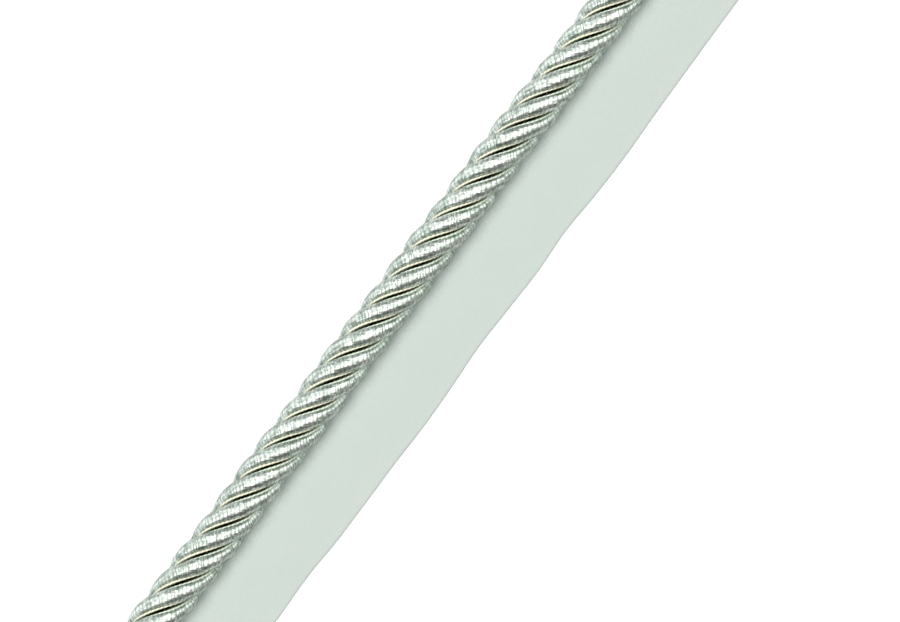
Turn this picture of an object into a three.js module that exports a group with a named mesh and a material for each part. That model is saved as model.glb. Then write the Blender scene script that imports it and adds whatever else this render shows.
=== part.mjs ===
// Lip cord: a four-ply twisted trimming cord sewn along one edge of a flat woven tape.
// Millimetres. +X runs along the cord, the tape reaches out towards -Y, and +Z is up.
// The origin is on the surface that the tape lies on, under the middle of the whole piece.

import * as THREE from 'three';

// Driving dimensions
const cutLength = 200;
const cordRadius = 4.9;
const plyCount = 4;
const lead = 29.68;
const tapeThickness = 1;
const tapeReach = 20.6;
const tapeTuck = 1.5;
const clearance = 0.3;

// One ply in section: a soft round lobe, flattened where it meets its two neighbours
const lobeRadius = 2.65;
const lobeCentre = cordRadius - lobeRadius;
const contactInset = 0.18;
const arcPieces = 9;

// Fineness of the solids
const stepsPerTurn = 16;
const tapeStep = 4;

// Where the groove nearest the middle of the length crosses the top of the cord
const grooveX = -1.31;

// How the piece lies: a row every 10 mm along it. sway is how far the cord wanders towards +Y,
// and edge how far the tape's outer edge stands out past its mean reach.
const lie = [
  { x: -100, sway: 0, edge: 0.1 },
  { x: -90, sway: -0.05, edge: 0 },
  { x: -80, sway: -0.1, edge: -0.1 },
  { x: -70, sway: -0.15, edge: -0.2 },
  { x: -60, sway: -0.2, edge: -0.4 },
  { x: -50, sway: 0, edge: 0.05 },
  { x: -40, sway: -0.05, edge: 0.1 },
  { x: -30, sway: -0.12, edge: 0.1 },
  { x: -20, sway: 0.08, edge: 0.3 },
  { x: -10, sway: 0.08, edge: 0.05 },
  { x: 0, sway: -0.04, edge: -0.4 },
  { x: 10, sway: 0.12, edge: -0.15 },
  { x: 20, sway: 0.06, edge: 0.1 },
  { x: 30, sway: 0.14, edge: -0.3 },
  { x: 40, sway: 0.2, edge: 0.2 },
  { x: 50, sway: -0.05, edge: 0.4 },
  { x: 60, sway: -0.15, edge: 0.15 },
  { x: 70, sway: -0.08, edge: 0 },
  { x: 80, sway: 0, edge: -0.1 },
  { x: 90, sway: 0.05, edge: -0.15 },
  { x: 100, sway: 0, edge: 0.05 },
];

// Places and turns worked out from the dimensions above
const firstTurn = Math.PI / 2 - Math.PI / plyCount - (2 * Math.PI * grooveX) / lead;
const widestSway = Math.max(...lie.map((row) => row.sway));
const widestEdge = Math.max(...lie.map((row) => row.edge));
const axisY = (tapeReach + widestEdge - cordRadius - widestSway) / 2;
const axisZ = tapeThickness + clearance + cordRadius;
const tapeInnerY = axisY + cordRadius - tapeTuck;
const tapeOuterY = axisY - tapeReach;

const cordFinish = new THREE.MeshStandardMaterial({ color: 0xc9d2c8, roughness: 0.45, metalness: 0 });
const tapeFinish = new THREE.MeshStandardMaterial({ color: 0xd5dfd7, roughness: 0.9, metalness: 0 });

// A value from one column of the table at any x, on a smooth curve through its rows
function along(column, x) {
  const spacing = lie[1].x - lie[0].x;
  const place = (x - lie[0].x) / spacing;
  const first = Math.min(Math.max(Math.floor(place), 0), lie.length - 2);
  const t = place - first;
  const value = (index) => lie[Math.min(Math.max(index, 0), lie.length - 1)][column];
  const slopeA = (value(first + 1) - value(first - 1)) / 2;
  const slopeB = (value(first + 2) - value(first)) / 2;
  const rise = value(first + 1) - value(first);
  return value(first) + t * slopeA + t * t * (3 * rise - 2 * slopeA - slopeB)
    + t * t * t * (slopeA + slopeB - 2 * rise);
}

function stations(step) {
  const count = Math.ceil(cutLength / step);
  return Array.from({ length: count + 1 }, (_, i) => -cutLength / 2 + (cutLength * i) / count);
}

// A closed solid from equal rings of points, with a flat fan over each end. From mirrorFrom on, the
// ring's quads are split the other way, so that the two flats of a ply match its neighbours' flats.
function loft(rings, mirrorFrom) {
  const size = rings[0].length;
  const points = rings.flat().flatMap((p) => [p.x, p.y, p.z]);
  const faces = [];
  for (let j = 0; j + 1 < rings.length; j += 1) {
    for (let i = 0; i < size; i += 1) {
      const next = (i + 1) % size;
      const a = j * size + i;
      const b = j * size + next;
      const c = (j + 1) * size + next;
      const d = (j + 1) * size + i;
      if (i < mirrorFrom) {
        faces.push(a, b, c, a, c, d);
      } else {
        faces.push(a, b, d, b, c, d);
      }
    }
  }
  const last = (rings.length - 1) * size;
  for (let i = 1; i + 1 < size; i += 1) {
    faces.push(0, i + 1, i);
    faces.push(last, last + i, last + i + 1);
  }
  const geometry = new THREE.BufferGeometry();
  geometry.setAttribute('position', new THREE.Float32BufferAttribute(points, 3));
  geometry.setIndex(faces);
  geometry.computeVertexNormals();
  return geometry;
}

// Outline of one ply in the cord's cross-section, with the cord's axis at 0, 0: from its inner edge
// out along one flat, round the lobe, and back along the other flat
function plyOutline() {
  const half = Math.PI / plyCount;
  const inner = contactInset / Math.sin(half);
  const off = lobeCentre * Math.sin(half) - contactInset;
  const reach = lobeCentre * Math.cos(half) + Math.sqrt(lobeRadius ** 2 - off ** 2);
  const cornerX = reach * Math.cos(half) + contactInset * Math.sin(half);
  const cornerY = reach * Math.sin(half) - contactInset * Math.cos(half);
  const sweep = Math.atan2(cornerY, cornerX - lobeCentre);
  const outline = [new THREE.Vector2(inner, 0)];
  for (let i = 0; i <= arcPieces; i += 1) {
    const angle = -sweep + (2 * sweep * i) / arcPieces;
    const x = lobeCentre + lobeRadius * Math.cos(angle);
    outline.push(new THREE.Vector2(x, lobeRadius * Math.sin(angle)));
  }
  return outline;
}

// One ply, wound in a right-handed helix about the cord's axis
function plyMesh(index) {
  const outline = plyOutline();
  const rings = stations(lead / stepsPerTurn).map((x) => {
    const turn = firstTurn + (2 * Math.PI * index) / plyCount + (2 * Math.PI * x) / lead;
    const cos = Math.cos(turn);
    const sin = Math.sin(turn);
    return outline.map((p) => new THREE.Vector3(
      x,
      axisY + along('sway', x) + p.x * cos - p.y * sin,
      axisZ + p.x * sin + p.y * cos,
    ));
  });
  const mesh = new THREE.Mesh(loft(rings, Math.ceil(outline.length / 2)), cordFinish);
  mesh.name = `ply_${index + 1}`;
  return mesh;
}

// The tape: a flat sheet under the cord, its free outer edge slightly uneven
function tapeMesh() {
  const rings = stations(tapeStep).map((x) => {
    const outerY = tapeOuterY - along('edge', x);
    return [
      new THREE.Vector3(x, outerY, 0),
      new THREE.Vector3(x, tapeInnerY, 0),
      new THREE.Vector3(x, tapeInnerY, tapeThickness),
      new THREE.Vector3(x, outerY, tapeThickness),
    ];
  });
  const mesh = new THREE.Mesh(loft(rings, rings[0].length), tapeFinish);
  mesh.name = 'tape';
  return mesh;
}

const lipCord = new THREE.Group();
const cord = new THREE.Group();
for (let index = 0; index < plyCount; index += 1) {
  cord.add(plyMesh(index));
}
lipCord.add(cord, tapeMesh());

export default lipCord;
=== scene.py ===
"""Lip cord: a twisted cord of four ribbed, silky plies on one edge of a flat tape, on white.

+X runs along the cord, the tape reaches towards -Y and +Z is up, as in the CAD frame. Sizes are in
millimetres until mesh_piece() turns them into Blender's metres.
"""
import math

import bpy
import numpy as np
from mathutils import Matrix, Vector


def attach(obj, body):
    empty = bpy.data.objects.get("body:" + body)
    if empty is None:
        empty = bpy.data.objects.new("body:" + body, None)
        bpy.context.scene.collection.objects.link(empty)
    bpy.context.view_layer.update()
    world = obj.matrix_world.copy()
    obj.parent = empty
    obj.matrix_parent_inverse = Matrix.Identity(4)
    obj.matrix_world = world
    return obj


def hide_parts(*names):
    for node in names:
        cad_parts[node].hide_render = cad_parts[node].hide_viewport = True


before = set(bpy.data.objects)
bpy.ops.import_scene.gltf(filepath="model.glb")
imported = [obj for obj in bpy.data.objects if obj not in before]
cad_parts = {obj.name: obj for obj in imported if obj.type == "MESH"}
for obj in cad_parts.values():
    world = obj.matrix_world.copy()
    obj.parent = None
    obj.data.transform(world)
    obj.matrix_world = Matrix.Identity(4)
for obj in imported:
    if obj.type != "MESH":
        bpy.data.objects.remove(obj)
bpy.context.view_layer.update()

MM = 0.001

# The construction, as in the CAD model
CUT_LENGTH = 200
CORD_RADIUS = 4.9
PLY_COUNT = 4
LEAD = 29.68
GROOVE_X = -1.31
TAPE_THICKNESS = 1.0
TAPE_REACH = 20.6
TAPE_TUCK = 1.5
CLEARANCE = 0.3

# How the piece lies: a row every 10 mm. sway is how far the cord wanders towards +Y, and edge how far
# the tape's outer edge stands out past its mean reach.
LIE = [
    {"x": -100, "sway": 0, "edge": 0.1},
    {"x": -90, "sway": -0.05, "edge": 0},
    {"x": -80, "sway": -0.1, "edge": -0.1},
    {"x": -70, "sway": -0.15, "edge": -0.2},
    {"x": -60, "sway": -0.2, "edge": -0.4},
    {"x": -50, "sway": 0, "edge": 0.05},
    {"x": -40, "sway": -0.05, "edge": 0.1},
    {"x": -30, "sway": -0.12, "edge": 0.1},
    {"x": -20, "sway": 0.08, "edge": 0.3},
    {"x": -10, "sway": 0.08, "edge": 0.05},
    {"x": 0, "sway": -0.04, "edge": -0.4},
    {"x": 10, "sway": 0.12, "edge": -0.15},
    {"x": 20, "sway": 0.06, "edge": 0.1},
    {"x": 30, "sway": 0.14, "edge": -0.3},
    {"x": 40, "sway": 0.2, "edge": 0.2},
    {"x": 50, "sway": -0.05, "edge": 0.4},
    {"x": 60, "sway": -0.15, "edge": 0.15},
    {"x": 70, "sway": -0.08, "edge": 0},
    {"x": 80, "sway": 0, "edge": -0.1},
    {"x": 90, "sway": 0.05, "edge": -0.15},
    {"x": 100, "sway": 0, "edge": 0.05},
]
WIDEST_SWAY = max(row["sway"] for row in LIE)
WIDEST_EDGE = max(row["edge"] for row in LIE)
AXIS_Y = (TAPE_REACH + WIDEST_EDGE - CORD_RADIUS - WIDEST_SWAY) / 2
AXIS_Z = TAPE_THICKNESS + CLEARANCE + CORD_RADIUS
FIRST_TURN = math.pi / 2 - math.pi / PLY_COUNT - 2 * math.pi * GROOVE_X / LEAD

# The plies: a soft lobe each, with a steep wall down into the groove on either side. The angles are
# about the cord's axis, from the middle of the lobe, in degrees but for the two of the side.
SLIT_HALF_WIDTH = 0.18
LOBE_RADIUS = 2.45
HALF_PLY = 180 / PLY_COUNT
WALL_FROM = 28
WALL_TO = 36
WALL_DEPTH = 0.8
FLOOR_FALL = 0.5
PROFILE_ANGLES = (0, 8, 15, 21, 26.5, 29.5, 32, 34.5, 38, 42)
# Where the ply's side begins and ends, which sets its painted greener shade tint and the stronger painted
# shade between its ribs
SIDE_FROM = math.radians(16)
SIDE_TO = math.radians(26)
# How strongly painted shade darkens the yarn down the groove walls and on the groove's floor
WALL_SHADE = 0.15
FLOOR_SHADE = 1.6
SWELL = {"spacing": 40, "size": 0.05}
# Over this stretch at either end the winding's slant fades out, so that the cut is square
SQUARE_END = 4

# The ribs of wound yarn across each ply, with the range of their widths and of their heights
RIB_PITCH = 0.62
RIB_HEIGHT = 0.1
RIB_SHAPE = (0.0, 1.0, 0.9)
RIB_WIDTHS = (0.5, 1.5)
RIB_SIZES = (0.35, 1.5)
RIB_SUNK = 0.7
RIB_LOST_ON_WALL = 0.7
RIB_RELIEF = 0.06
UNEVEN_RELIEF = 0.12
FILAMENT_RELIEF = 0.03
# How full the curve of a rib's bump is: 4 is a whole half round, and 0 is flat
RIB_FULLNESS = 3.9

# The two fine threads in each groove, by the side of the ply that each lies on
THREAD_RADIUS = 0.22
THREAD_ANGLES = {1: math.radians(35.2), -1: math.radians(33.8)}
THREAD_DISTANCE = 3.4
THREAD_SIDES = 8
THREAD_STEP = 0.2
THREAD_DRIFT = {"spacing": 18, "size": 0.05}
THREAD_LEVEL = {"spacing": 25, "size": 0.06}
THREAD_TWIST = {"spacing": 30, "size": 0.5}
BEAD_PITCH = 0.8
BEAD_HEIGHT = 0.13

# The tape's mesh, and its weave, which is turned by an angle in degrees
TAPE_STEP = 0.5
TAPE_LINES = 50
TAPE_EDGE_POINTS = 7
WEAVE_PITCH = 0.52
WEAVE_TURN = -43
WEAVE_RELIEF = 0.1

# The ground, and the cut fibres of the plies' ends
GROUND_HALF = 3000
CUT_RELIEF = 0.1

# The photograph's frame: the cord's direction in it, how far the middle of the view lies from the
# middle of the part along the cord, and from the cord's axis across it
CORD_ANGLE = math.radians(53.34)
VIEW_WIDTH = 187.5
VIEW_X = 2.35
VIEW_BELOW_AXIS = 10.85
LENS = 200
SENSOR = 36
FOCUS_Z = 5
VIEW_END = 10000

# The lights, by their direction in the photograph's plane and their height above it, in degrees
LIGHTS = [
    {"name": "above", "azimuth": 256, "height": 77, "strength": 1.1, "soft": 34, "colour": (1, 0.975, 0.99)},
    {"name": "over", "azimuth": 92, "height": 77, "strength": 0.6, "soft": 26, "colour": (1, 0.975, 0.99)},
    {"name": "top", "azimuth": 74, "height": 57, "strength": 1.2, "soft": 26, "colour": (1, 0.985, 1)},
    {"name": "left", "azimuth": 206, "height": 67, "strength": 0.9, "soft": 24, "colour": (0.96, 0.99, 1)},
    {"name": "low", "azimuth": 150, "height": 18, "strength": 0.95, "soft": 30, "colour": (0.85, 0.94, 1)},
    {"name": "right", "azimuth": 20, "height": 50, "strength": 0.72, "soft": 30, "colour": (0.94, 1, 0.96)},
]

SURROUNDINGS = {"colour": (0.95, 0.97, 1.0, 1), "strength": 0.05}

chance = np.random.default_rng(12)


def along(column, x):
    """A value from one column of LIE at any x, on a smooth curve through its rows"""
    x = np.asarray(x, float)
    values = np.array([row[column] for row in LIE], float)
    last = len(LIE) - 1
    place = (x - LIE[0]["x"]) / (LIE[1]["x"] - LIE[0]["x"])
    first = np.clip(np.floor(place).astype(int), 0, last - 1)
    t = place - first
    before = values[np.clip(first - 1, 0, last)]
    here = values[first]
    there = values[first + 1]
    beyond = values[np.clip(first + 2, 0, last)]
    slope_a = (there - before) / 2
    slope_b = (beyond - here) / 2
    rise = there - here
    square = 3 * rise - 2 * slope_a - slope_b
    cube = slope_a + slope_b - 2 * rise
    return here + t * slope_a + t**2 * square + t**3 * cube


def in_cord(x, angle, distance):
    """Points at an angle about the cord's axis and a distance from it, as an array of x, y, z"""
    y = AXIS_Y + along("sway", x) + distance * np.cos(angle)
    z = AXIS_Z + distance * np.sin(angle)
    return np.stack(np.broadcast_arrays(x, y, z), -1)


def turn_at(x):
    """How far the first ply has turned about the cord's axis at x"""
    return FIRST_TURN + 2 * math.pi * x / LEAD


def soft_noise(count, spacing, size):
    """Smooth random values for a run of stations, with a random knot every spacing stations"""
    knots = chance.uniform(-size, size, int(count / spacing) + 4)
    place = np.arange(count) / spacing
    first = place.astype(int)
    t = place - first
    t = t * t * (3 - 2 * t)
    return knots[first] * (1 - t) + knots[first + 1] * t


def tube_faces(rings, sides, start):
    """Quads round a tube of equal rings, and as the last two faces its flat ends"""
    j, i = np.meshgrid(np.arange(rings - 1), np.arange(sides), indexing="ij")
    after = (i + 1) % sides
    quads = np.stack([j * sides + i, j * sides + after, (j + 1) * sides + after, (j + 1) * sides + i], -1)
    last = start + (rings - 1) * sides
    ends = [list(range(start + sides - 1, start - 1, -1)), list(range(last, last + sides))]
    return (quads.reshape(-1, 4) + start).tolist() + ends


def mesh_piece(name, points, faces, materials, material_of_face=None, attributes=None, uv=None):
    """A smooth mesh object from points in millimetres, with per-point attributes and a UV map"""
    mesh = bpy.data.meshes.new(name)
    mesh.from_pydata((np.asarray(points) * MM).tolist(), [], faces)
    for material in materials:
        mesh.materials.append(material)
    if material_of_face is not None:
        mesh.polygons.foreach_set("material_index", np.asarray(material_of_face, np.int32))
    mesh.polygons.foreach_set("use_smooth", np.ones(len(faces), bool))
    for key, values in (attributes or {}).items():
        mesh.attributes.new(key, "FLOAT", "POINT").data.foreach_set("value", np.asarray(values, np.float32))
    if uv is not None:
        corner = np.zeros(len(mesh.loops), np.int32)
        mesh.loops.foreach_get("vertex_index", corner)
        layer = mesh.uv_layers.new(name="winding")
        layer.uv.foreach_set("vector", np.asarray(uv, np.float32)[corner].ravel())
    mesh.validate()
    mesh.update()
    piece = bpy.data.objects.new(name, mesh)
    bpy.context.scene.collection.objects.link(piece)
    return piece


class Nodes:
    """A small helper that adds shader nodes to one material and joins them"""

    def __init__(self, name, **principled):
        self.material = bpy.data.materials.new(name)
        self.material.use_nodes = True
        self.tree = self.material.node_tree
        self.shader = self.tree.nodes["Principled BSDF"]
        for socket, value in principled.items():
            self.shader.inputs[socket.replace("_", " ")].default_value = value

    def add(self, kind, inputs=None, **settings):
        node = self.tree.nodes.new("ShaderNode" + kind)
        for key, value in settings.items():
            setattr(node, key, value)
        for key, value in (inputs or {}).items():
            self.feed(node.inputs[key], value)
        return node

    def feed(self, socket, value):
        if isinstance(value, bpy.types.NodeSocket):
            self.tree.links.new(value, socket)
        else:
            socket.default_value = value

    def math(self, operation, a, b=0.0):
        return self.add("Math", {0: a, 1: b}, operation=operation).outputs[0]

    def scaled(self, value, factor, added):
        inputs = {0: value, 1: factor, 2: added}
        return self.add("Math", inputs, operation="MULTIPLY_ADD").outputs[0]

    def stretched(self, vector, scale):
        return self.add("Mapping", {"Vector": vector, "Scale": scale}).outputs["Vector"]

    def mix(self, factor, a, b, blend="MIX"):
        node = self.add("Mix", data_type="RGBA", blend_type=blend)
        self.feed(node.inputs[0], factor)
        self.feed(node.inputs[6], a)
        self.feed(node.inputs[7], b)
        return node.outputs[2]

    def value(self, name):
        return self.add("Attribute", attribute_name=name).outputs["Fac"]

    def noise(self, vector, scale, detail=2.0, roughness=0.5):
        inputs = {"Vector": vector, "Scale": scale, "Detail": detail, "Roughness": roughness}
        return self.add("TexNoise", inputs).outputs["Fac"]

    def ramp(self, factor, *stops):
        node = self.add("ValToRGB", {0: factor})
        elements = node.color_ramp.elements
        while len(elements) < len(stops):
            elements.new(1.0)
        for element, (position, colour) in zip(elements, stops):
            element.position = position
            element.color = colour
        return node.outputs["Color"]

    def bump(self, height, strength, depth, normal=None):
        inputs = {"Height": height, "Strength": strength, "Distance": depth * MM}
        if normal is not None:
            inputs["Normal"] = normal
        return self.add("Bump", inputs).outputs["Normal"]

    def finish(self, colour, normal=None):
        self.feed(self.shader.inputs["Base Color"], colour)
        if normal is not None:
            self.feed(self.shader.inputs["Normal"], normal)
        return self.material


def yarn_material():
    """Silky sage-silver yarn wound across each ply: round ribs of fine filaments, glossy along the ply"""
    n = Nodes("silky_yarn", Roughness=0.46, Metallic=0.92, Anisotropic=0.7,
              Specular_Tint=(0.12, 0.22, 0.19, 1))
    tangent = n.add("Tangent", direction_type="UV_MAP", uv_map="winding").outputs["Tangent"]
    n.feed(n.shader.inputs["Tangent"], tangent)
    uv = n.add("UVMap", uv_map="winding").outputs["UV"]
    along_winding = n.add("SeparateXYZ", {"Vector": uv}).outputs["X"]
    # Each rib is a nearly full half round, from one whole number along the winding to the next
    from_middle = n.math("SUBTRACT", n.math("FRACT", along_winding), 0.5)
    squared = n.math("MULTIPLY", from_middle, from_middle)
    rib = n.math("SQRT", n.math("SUBTRACT", 1.0, n.math("MULTIPLY", RIB_FULLNESS, squared)))
    filaments = n.noise(n.stretched(uv, (7.0, 1.2, 1.0)), 1.0, 3.0, 0.6)
    patches = n.noise(n.stretched(uv, (0.4, 0.8, 1.0)), 1.0, 2.0)
    crest = n.ramp(patches, (0.36, (0.47, 0.54, 0.46, 1)), (0.56, (0.82, 0.86, 0.78, 1)))
    side = n.ramp(patches, (0.36, (0.40, 0.49, 0.41, 1)), (0.56, (0.94, 1.0, 0.94, 1)))
    # On the ply's sides the yarn takes a greener colour: a painted tint of the greener shade there
    yarn = n.mix(n.value("flank"), crest, side)
    yarn = n.mix(n.math("MULTIPLY", n.value("tint"), 0.4), yarn, (0.36, 0.43, 0.34, 1))
    streaks = n.ramp(filaments, (0.3, (0.86, 0.86, 0.86, 1)), (0.7, (1, 1, 1, 1)))
    yarn = n.mix(1.0, yarn, streaks, "MULTIPLY")
    # Painted shade in the gaps between the ribs, strongest on the ply's sides
    gap_shade_share = n.scaled(n.value("flank"), 0.4, 0.6)
    painted_gap_shade = n.math("MULTIPLY", n.math("SUBTRACT", 1.0, rib), gap_shade_share)
    yarn = n.mix(painted_gap_shade, yarn, (0.14, 0.21, 0.18, 1))
    # Painted shade: the yarn darkens to near black down the groove walls, on the groove's floor and at the
    # core
    yarn = n.mix(n.value("painted_groove_shade"), yarn, (0.045, 0.085, 0.055, 1))
    uneven = n.noise(n.stretched(uv, (0.6, 1.1, 1.0)), 1.0, 1.0)
    relief = n.bump(rib, 1.0, RIB_RELIEF, n.bump(uneven, 1.0, UNEVEN_RELIEF))
    return n.finish(yarn, n.bump(filaments, 0.25, FILAMENT_RELIEF, relief))


def cut_material():
    """The cut ends of the plies: pale core fibres seen end on"""
    n = Nodes("cut_core", Roughness=0.85)
    place = n.add("TexCoord").outputs["Object"]
    specks = n.add("TexVoronoi", {"Vector": place, "Scale": 6000.0}).outputs["Distance"]
    clumps = n.noise(place, 900.0, 2.0)
    core = n.mix(clumps, (0.68, 0.7, 0.62, 1), (0.86, 0.86, 0.78, 1))
    core = n.mix(n.math("MULTIPLY", specks, 0.5), core, (0.3, 0.33, 0.28, 1))
    return n.finish(core, n.bump(specks, 0.6, CUT_RELIEF))


def thread_material(name, light, strand_crease_shade):
    """A fine twisted thread, with painted shade where its two strands meet"""
    n = Nodes(name, Roughness=0.55, Specular_IOR_Level=0.4)
    return n.finish(n.mix(n.value("rib"), strand_crease_shade, light))


def tape_material():
    """Matt, closely woven tape, cut on the bias so that its threads run across at about 45 degrees"""
    n = Nodes("tape_weave", Roughness=0.9, Specular_IOR_Level=0.2)
    place = n.add("TexCoord").outputs["Object"]
    rotation = (0, 0, math.radians(WEAVE_TURN))
    turned = n.add("Mapping", {"Vector": place, "Rotation": rotation}).outputs["Vector"]
    wander = n.noise(place, 120.0, 2.0)
    parts = n.add("SeparateXYZ", {"Vector": turned}).outputs
    phase_per_m = 2 * math.pi / (WEAVE_PITCH * MM)
    warp = n.math("SINE", n.scaled(parts["X"], phase_per_m, 0.5))
    weft = n.math("SINE", n.scaled(parts["Y"], phase_per_m, 0.5))
    weave = n.scaled(n.math("MULTIPLY", warp, weft), 0.5, 0.5)
    cloth = n.mix(wander, (0.485, 0.54, 0.5, 1), (0.505, 0.555, 0.515, 1))
    cloth = n.mix(n.math("MULTIPLY", n.math("ADD", weave, 0.5), 0.12), cloth, (0.45, 0.53, 0.48, 1))
    return n.finish(cloth, n.bump(weave, 0.2, WEAVE_RELIEF))


def floor_material():
    """Plain white paper, very slightly uneven"""
    n = Nodes("white_ground", Roughness=0.95, Specular_IOR_Level=0.0)
    place = n.add("TexCoord").outputs["Object"]
    paper = n.mix(n.noise(place, 3.0, 1.0), (0.93, 0.93, 0.925, 1), (0.95, 0.95, 0.945, 1))
    return n.finish(paper)


def ply_profile():
    """Outline of a ply as angles about the cord's axis and distances from it, round the outside only:
    a low crown, a steep wall down into the groove on either side, and the groove's floor"""
    half = np.array(PROFILE_ANGLES, float)
    degrees = np.concatenate([-half[:0:-1], half])
    size = np.abs(degrees)
    fall = np.clip((size - WALL_FROM) / (WALL_TO - WALL_FROM), 0, 1)
    wall = fall * fall * (3 - 2 * fall)
    floor = np.clip((size - WALL_TO) / (HALF_PLY - WALL_TO), 0, 1)
    angles = np.radians(degrees)
    centre = CORD_RADIUS - LOBE_RADIUS
    inside = np.maximum(LOBE_RADIUS**2 - (centre * np.sin(angles)) ** 2, 0)
    lobe = centre * np.cos(angles) + np.sqrt(inside)
    return angles, lobe - WALL_DEPTH * wall - FLOOR_FALL * floor, wall, floor


def rib_stations():
    """Where the rings of a ply lie along the cord: a few to each rib, the ribs of uneven width"""
    ribs = int(CUT_LENGTH / RIB_PITCH)
    widths = chance.uniform(*RIB_WIDTHS, ribs)
    edges = np.concatenate([[0], np.cumsum(widths)])
    edges = edges / edges[-1] * CUT_LENGTH - CUT_LENGTH / 2
    per_rib = len(RIB_SHAPE)
    steps = np.arange(ribs * per_rib + 1) / per_rib
    x = np.interp(steps, np.arange(ribs + 1), edges)
    heights = np.concatenate([np.tile(RIB_SHAPE, ribs), [0]])
    return x, heights, steps


def ply_rings(index, angles, distances, wall):
    """One ply's rings, square to the yarn's run, with each one's place in the winding and its tint"""
    x0, heights, phase = rib_stations()
    count = len(x0)
    rib_of = np.minimum(phase.astype(int), int(phase[-1]) - 1)
    rib_size = chance.uniform(*RIB_SIZES, rib_of.max() + 1)[rib_of]
    rib_tint = chance.uniform(0, 1, rib_of.max() + 1)[rib_of] ** 2
    swell = soft_noise(count, **SWELL)
    slope = math.atan(2 * math.pi * CORD_RADIUS / LEAD)
    tilt = CORD_RADIUS * math.cos(slope) * math.sin(slope)
    at_end = np.clip((CUT_LENGTH / 2 - np.abs(x0)) / SQUARE_END, 0, 1)
    x = x0[:, None] - tilt * angles[None, :] * at_end[:, None]
    flattened = 1 - RIB_LOST_ON_WALL * wall[None, :]
    lift = heights[:, None] * rib_size[:, None] * RIB_HEIGHT * flattened
    distance = distances[None, :] + lift - RIB_HEIGHT * RIB_SUNK + swell[:, None]
    ply_turn = 2 * math.pi * index / PLY_COUNT
    outer = in_cord(x, turn_at(x) + ply_turn + angles[None, :], distance)
    inner = SLIT_HALF_WIDTH / math.sin(math.pi / PLY_COUNT)
    core = in_cord(x0, turn_at(x0) + ply_turn, np.full(count, inner))
    return np.concatenate([core[:, None, :], outer], 1), phase, rib_tint


def make_cord(yarn, cut):
    """The four plies as one mesh, with what the yarn's material reads at each point: the painted shade of
    the groove walls, floor and core, how far down the side, the tint of its rib, and its place along and
    across the winding"""
    angles, distances, wall, floor = ply_profile()
    # Painted shade for the grooves: a little down the walls, full on the groove's floor and at the core
    # point
    painted_groove_shade = np.clip(WALL_SHADE * wall + FLOOR_SHADE * floor, 0, 1)
    # How far down the side each point lies, for the painted shade tint of the sides
    flank = np.clip((np.abs(angles) - SIDE_FROM) / (SIDE_TO - SIDE_FROM), 0, 1)
    across = np.concatenate([[0], angles * CORD_RADIUS])
    sides = len(across)
    points = []
    faces = []
    kinds = []
    values = {"painted_groove_shade": [], "flank": [], "tint": []}
    uvs = []
    start = 0
    for index in range(PLY_COUNT):
        rings, phase, tint = ply_rings(index, angles, distances, wall)
        count = len(rings)
        points.append(rings.reshape(-1, 3))
        values["painted_groove_shade"].append(np.tile(np.concatenate([[1.0], painted_groove_shade]), count))
        values["flank"].append(np.tile(np.concatenate([[0.0], flank]), count))
        values["tint"].append(np.repeat(tint, sides))
        uvs.append(np.stack(np.broadcast_arrays(phase[:, None], across[None, :]), -1).reshape(-1, 2))
        tube = tube_faces(count, sides, start)
        faces += tube
        kinds += [0] * (len(tube) - 2) + [1, 1]
        start += count * sides
    attributes = {key: np.concatenate(parts) for key, parts in values.items()}
    return mesh_piece("cord", np.concatenate(points), faces, [yarn, cut], kinds, attributes,
                      np.concatenate(uvs))


def make_threads(cream, pale):
    """Two fine threads in each groove, one on either side of the slit"""
    count = int(CUT_LENGTH / THREAD_STEP) + 1
    x = np.linspace(-CUT_LENGTH / 2, CUT_LENGTH / 2, count)
    round_it = np.arange(THREAD_SIDES) * 2 * math.pi / THREAD_SIDES
    slope = math.atan(2 * math.pi * THREAD_DISTANCE / LEAD)
    points = []
    faces = []
    kinds = []
    rib_values = []
    start = 0
    for index in range(PLY_COUNT):
        for side in (-1, 1):
            drift = soft_noise(count, **THREAD_DRIFT)
            level = soft_noise(count, **THREAD_LEVEL)
            twist = math.pi * x / BEAD_PITCH + chance.uniform(0, math.pi) + soft_noise(count, **THREAD_TWIST)
            bead = np.cos(2 * (round_it[None, :] - twist[:, None]))
            size = THREAD_RADIUS * (1 + BEAD_HEIGHT * bead)
            across = size * np.cos(round_it)[None, :] + drift[:, None]
            out = size * np.sin(round_it)[None, :] + level[:, None]
            turn = turn_at(x) + 2 * math.pi * index / PLY_COUNT + side * THREAD_ANGLES[side]
            angle = turn[:, None] + across / math.cos(slope) / THREAD_DISTANCE
            ring = in_cord(x[:, None], angle, THREAD_DISTANCE + out)
            points.append(ring.reshape(-1, 3))
            rib_values.append((0.5 + 0.5 * bead).ravel())
            tube = tube_faces(count, THREAD_SIDES, start)
            faces += tube
            kinds += [0 if side > 0 else 1] * len(tube)
            start += count * THREAD_SIDES
    return mesh_piece("groove_threads", np.concatenate(points), faces, [cream, pale], kinds,
                      {"rib": np.concatenate(rib_values)})


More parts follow.
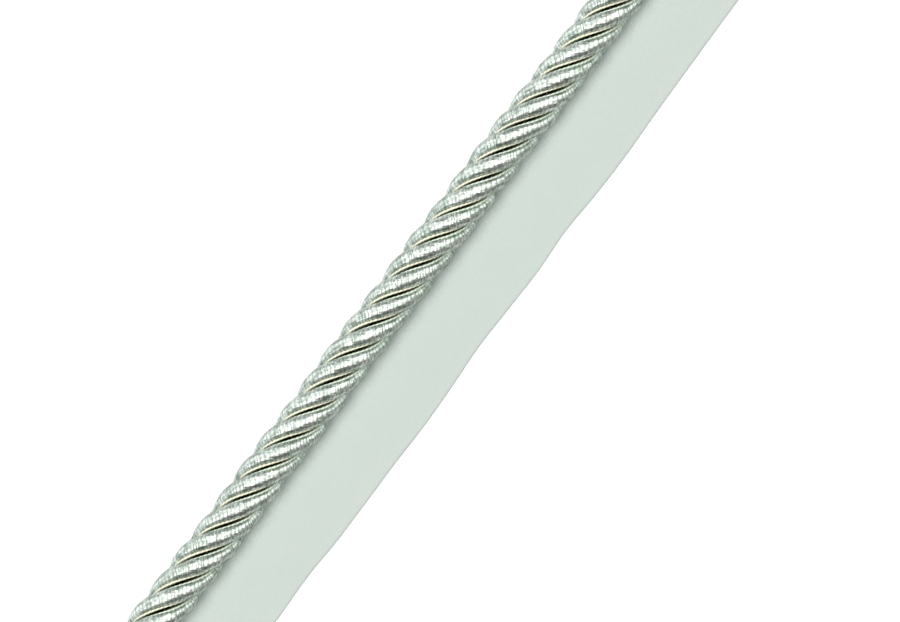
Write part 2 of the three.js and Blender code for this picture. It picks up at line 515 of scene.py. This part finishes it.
def make_tape(material):
    """The tape as a thin closed sheet with soft edges, its outer edge uneven"""
    stations = int(CUT_LENGTH / TAPE_STEP) + 1
    x = np.linspace(-CUT_LENGTH / 2, CUT_LENGTH / 2, stations)
    outer_y = AXIS_Y - TAPE_REACH - along("edge", x)
    inner_y = AXIS_Y + CORD_RADIUS - TAPE_TUCK
    half = TAPE_THICKNESS / 2
    round_edge = np.linspace(-math.pi / 2, math.pi / 2, TAPE_EDGE_POINTS)
    inner_side = [(1, half * math.cos(a) - half, half + half * math.sin(a)) for a in round_edge]
    outer_side = [(0, half - half * math.cos(a), half + half * math.sin(a)) for a in -round_edge]
    flat = np.linspace(0, 1, TAPE_LINES)[1:-1]
    top = [(1 - f, 0, TAPE_THICKNESS) for f in flat]
    bottom = [(f, 0, 0) for f in flat]
    ring = inner_side + top + outer_side + bottom
    share = np.array([r[0] for r in ring])
    shift = np.array([r[1] for r in ring])
    height = np.array([r[2] for r in ring])
    y = outer_y[:, None] + (inner_y - outer_y)[:, None] * share[None, :] + shift[None, :]
    between = (share > 0) & (share < 1)
    flat_y = outer_y[:, None] + half + (inner_y - outer_y - 2 * half)[:, None] * share[None, :]
    y = np.where(between[None, :], flat_y, y)
    z = np.broadcast_to(height[None, :], y.shape)
    points = np.stack([np.broadcast_to(x[:, None], y.shape), y, z], -1).reshape(-1, 3)
    return mesh_piece("tape_sheet", points, tube_faces(stations, len(ring), 0), [material])


def make_floor(material):
    """The white ground, which is only there for the picture"""
    half = GROUND_HALF
    corners = [(-half, -half, 0), (half, -half, 0), (half, half, 0), (-half, half, 0)]
    floor = mesh_piece("ground", corners, [[0, 1, 2, 3]], [material])


def in_view(azimuth, height):
    """A direction given by its angle in the photograph's plane and its height above it"""
    turned = math.radians(azimuth) - CORD_ANGLE
    up = math.radians(height)
    return np.array([math.cos(up) * math.cos(turned), math.cos(up) * math.sin(turned), math.sin(up)])


def add_sun(name, azimuth, height, strength, soft, colour):
    """A light from one direction of the photograph, its edge as soft as its angle across"""
    light = bpy.data.lights.new(name, "SUN")
    light.energy = strength
    light.angle = math.radians(soft)
    light.color = colour
    sun = bpy.data.objects.new(name, light)
    direction = in_view(azimuth, height)
    sun.rotation_euler = Vector(direction).to_track_quat("Z", "Y").to_euler()
    sun.location = direction
    bpy.context.scene.collection.objects.link(sun)


def add_camera():
    """The camera straight above, turned so that the cord runs up to the right"""
    data = bpy.data.cameras.new("camera")
    data.lens = LENS
    data.sensor_width = SENSOR
    data.clip_end = VIEW_END * MM
    camera = bpy.data.objects.new("camera", data)
    distance = VIEW_WIDTH * LENS / SENSOR
    camera.location = (VIEW_X * MM, (AXIS_Y - VIEW_BELOW_AXIS) * MM, (FOCUS_Z + distance) * MM)
    camera.rotation_euler = (0, 0, -CORD_ANGLE)
    bpy.context.scene.collection.objects.link(camera)
    bpy.context.scene.camera = camera


def add_light():
    """A faint light from all round, and the lights of the table"""
    world = bpy.data.worlds.new("surroundings")
    world.use_nodes = True
    background = world.node_tree.nodes["Background"]
    background.inputs["Color"].default_value = SURROUNDINGS["colour"]
    background.inputs["Strength"].default_value = SURROUNDINGS["strength"]
    bpy.context.scene.world = world
    for row in LIGHTS:
        add_sun(**row)


bpy.context.scene.view_settings.view_transform = "Standard"

add_camera()
# Each thread's second colour is the painted shade in the crease between its two strands
cream = thread_material("cream_thread", (1.0, 0.94, 0.7, 1), (0.66, 0.62, 0.44, 1))
pale = thread_material("pale_thread", (0.7, 0.79, 0.63, 1), (0.42, 0.49, 0.38, 1))
cord = make_cord(yarn_material(), cut_material())
threads = make_threads(cream, pale)
tape = make_tape(tape_material())
make_floor(floor_material())
add_light()

for piece in (cord, threads, tape):
    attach(piece, "root")
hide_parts("ply_1", "ply_2", "ply_3", "ply_4")
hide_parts("tape")
